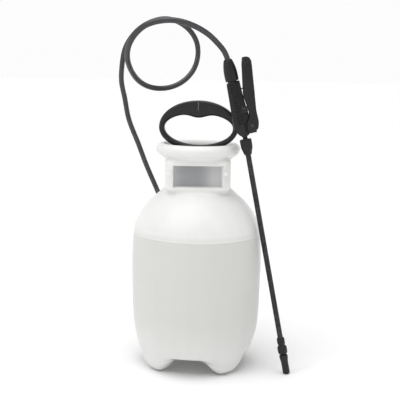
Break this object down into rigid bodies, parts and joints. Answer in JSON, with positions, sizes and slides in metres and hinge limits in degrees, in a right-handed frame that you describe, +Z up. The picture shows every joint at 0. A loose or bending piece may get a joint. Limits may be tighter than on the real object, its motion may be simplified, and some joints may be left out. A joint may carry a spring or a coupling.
{
  "type": "pump sprayer",
  "caption": "Compression sprayer with a milky funnel-topped tank, a ring-handled hand pump, a looped hose, and a hand valve whose wand and nozzle lean on the tank.",
  "frame": {"origin": "On the floor, under the middle of the box round every piece but the hose", "axes": "+Z up along the tank's axis, -Y towards the tank's front, +X towards the wand"},
  "size_m": [0.272, 0.186, 0.5013],
  "materials": {
    "black_poly": "fine satin moulding",
    "grip_poly": "satin moulding with a fine grain",
    "hose_vinyl": "smooth dark grey vinyl",
    "seal_rubber": "matt black",
    "spring_steel": "bright drawn wire",
    "tank_poly": "milky translucent blow-moulded polyethylene",
    "white_poly": "natural white polypropylene"
  },
  "bodies": {
    "tank": {"tank_shell": "tank_poly", "outlet_gasket": "seal_rubber", "outlet_spigot": "black_poly", "outlet_jam_nut": "black_poly", "outlet_nut": "grip_poly", "dip_tube": "white_poly", "dip_strainer": "white_poly", "hose": "hose_vinyl", "grip_body": "grip_poly", "hose_nut": "grip_poly", "valve_bonnet": "black_poly", "stem_seal": "seal_rubber", "valve_seat": "seal_rubber", "valve_spring": "spring_steel", "lever_pin": "spring_steel", "wand_nut": "grip_poly", "wand_seal": "seal_rubber", "wand_ferrule": "black_poly", "wand_tube": "grip_poly", "nozzle_adapter": "grip_poly", "nozzle_insert": "black_poly"},
    "gasket": {"pump_gasket": "seal_rubber"},
    "pump": {"pump_cap": "black_poly", "rod_guide": "white_poly", "pump_barrel": "black_poly", "check_valve": "seal_rubber"},
    "plunger": {"plunger_cup": "seal_rubber"},
    "handle": {"pump_rod": "white_poly", "pump_handle": "black_poly", "handle_pin": "spring_steel", "plunger_washer": "white_poly", "plunger_nut": "black_poly"},
    "lever": {"trigger_lever": "grip_poly", "latch_pin": "spring_steel"},
    "latch": {"lock_latch": "black_poly"},
    "stem": {"valve_stem": "white_poly"},
    "nozzle_seal": {"nozzle_o_ring": "seal_rubber"},
    "nozzle": {"nozzle_cap": "grip_poly"}
  },
  "joints": [
    {"name": "pump_rise", "type": "slide", "parent": "tank", "child": "gasket", "axis": [0, 0, 1], "range_m": [0, 0.00101]},
    {"name": "pump_turn", "type": "hinge", "parent": "gasket", "child": "pump", "pos_m": [-0.02394, 0, 0.3], "axis": [0, 0, 1], "range_deg": [0, 40]},
    {"name": "pump_stroke", "type": "slide", "parent": "pump", "child": "plunger", "axis": [0, 0, 1], "range_m": [0, 0.14]},
    {"name": "handle_turn", "type": "hinge", "parent": "plunger", "child": "handle", "pos_m": [-0.02394, 0, 0.3], "axis": [0, 0, 1], "range_deg": [0, 40]},
    {"name": "lever_squeeze", "type": "hinge", "parent": "tank", "child": "lever", "pos_m": [0.05341, -0.02279, 0.35074], "axis": [0.1374, -0.9905, 0], "range_deg": [0, 5], "stiffness_Nm_per_rad": 1.5, "springref_deg": -5.73},
    {"name": "valve_push", "type": "slide", "parent": "tank", "child": "stem", "axis": [-0.9618, -0.1335, -0.2392], "range_m": [0, 0.00193], "deforming": ["valve_spring"]},
    {"name": "latch_swing", "type": "hinge", "parent": "lever", "child": "latch", "pos_m": [0.04306, -0.02423, 0.43159], "axis": [-0.1374, 0.9905, 0], "range_deg": [0, 35]},
    {"name": "nozzle_travel", "type": "slide", "parent": "tank", "child": "nozzle_seal", "axis": [-0.2002, 0.0269, 0.9794], "range_m": [0, 0.0016]},
    {"name": "nozzle_turn", "type": "hinge", "parent": "nozzle_seal", "child": "nozzle", "pos_m": [0.11076, -0.03289, 0.0089], "axis": [-0.2002, 0.0269, 0.9794], "range_deg": [0, 300]}
  ],
  "couplings": [
    {"joint": "pump_rise", "follows": "pump_turn", "m_per_rad": 0.0014324},
    {"joint": "valve_push", "follows": "lever_squeeze", "m_per_rad": 0.022},
    {"joint": "nozzle_turn", "follows": "nozzle_travel", "rad_per_m": 3270}
  ]
}
